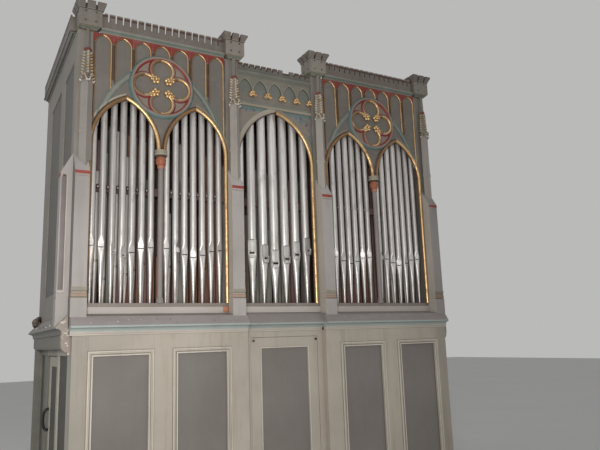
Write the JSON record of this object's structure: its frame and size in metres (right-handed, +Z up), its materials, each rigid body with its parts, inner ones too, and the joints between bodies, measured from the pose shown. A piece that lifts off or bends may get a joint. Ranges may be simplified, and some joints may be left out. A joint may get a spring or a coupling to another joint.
{
  "type": "pipe organ",
  "caption": "Neo-Gothic pipe organ case with pointed arches, display pipes, piers with spires, battlements and a hinged side door.",
  "frame": {"origin": "on the floor, at the middle of the upper facade's plane", "axes": "+X along the facade to the viewer's right, +Y back into the case, +Z up"},
  "size_m": [4.083, 2.076, 4.613],
  "materials": {
    "grey_paint": "painted grey, satin, faded",
    "cream_paint": "painted cream beige, satin, rubbed",
    "light_paint": "painted pale cream, satin",
    "panel_grey": "painted mid grey, satin",
    "gold_paint": "gilded wood, worn",
    "red_paint": "painted brick red, matt",
    "teal_paint": "painted pale teal, matt",
    "pipe_metal": "bright tin alloy, slightly dulled",
    "bare_wood": "dark reddish brown wood",
    "black_iron": "dark painted iron"
  },
  "bodies": {
    "case": {"plinth_front": "cream_paint", "plinth_rear": "cream_paint", "lower_stiles": "cream_paint", "lower_rails": "cream_paint", "lower_panels": "panel_grey", "panel_mouldings": "light_paint", "access_panel": "cream_paint", "access_knobs": "black_iron", "lower_side_front": "cream_paint", "lower_side_rear": "cream_paint", "doorway_rails": "cream_paint", "lower_side_right": "cream_paint", "door_hinges": "black_iron", "lower_back": "bare_wood", "deck": "bare_wood", "impost_front": "grey_paint", "impost_sides": "grey_paint", "sill_boards": "light_paint", "toe_boards": "bare_wood", "wind_chest": "bare_wood", "facade_stiles": "grey_paint", "side_heads": "grey_paint", "head_middle": "grey_paint", "colonnettes": "grey_paint", "arch_rolls": "gold_paint", "great_arches": "teal_paint", "wheel_lobes": "gold_paint", "blind_lancets": "gold_paint", "red_fields": "red_paint", "gold_buds": "gold_paint", "frieze": "grey_paint", "front_piers": "grey_paint", "side_piers": "grey_paint", "pier_bands": "red_paint", "pinnacles": "grey_paint", "turrets": "grey_paint", "cornices": "grey_paint", "crestings": "grey_paint", "upper_sides": "grey_paint", "upper_back": "bare_wood", "roof": "bare_wood", "pipes_left": "pipe_metal", "pipes_middle": "pipe_metal", "pipes_right": "pipe_metal", "pipe_rails": "bare_wood", "inner_pipes": "bare_wood"},
    "side_door_leaf": {"side_door": "panel_grey", "door_handle": "black_iron", "door_knuckles": "black_iron"}
  },
  "joints": [
    {"name": "side_door_hinge", "type": "hinge", "parent": "case", "child": "side_door_leaf", "pos_m": [-1.912, 0.629, 0.8], "axis": [0, 0, 1], "range_deg": [0, 90]}
  ]
}
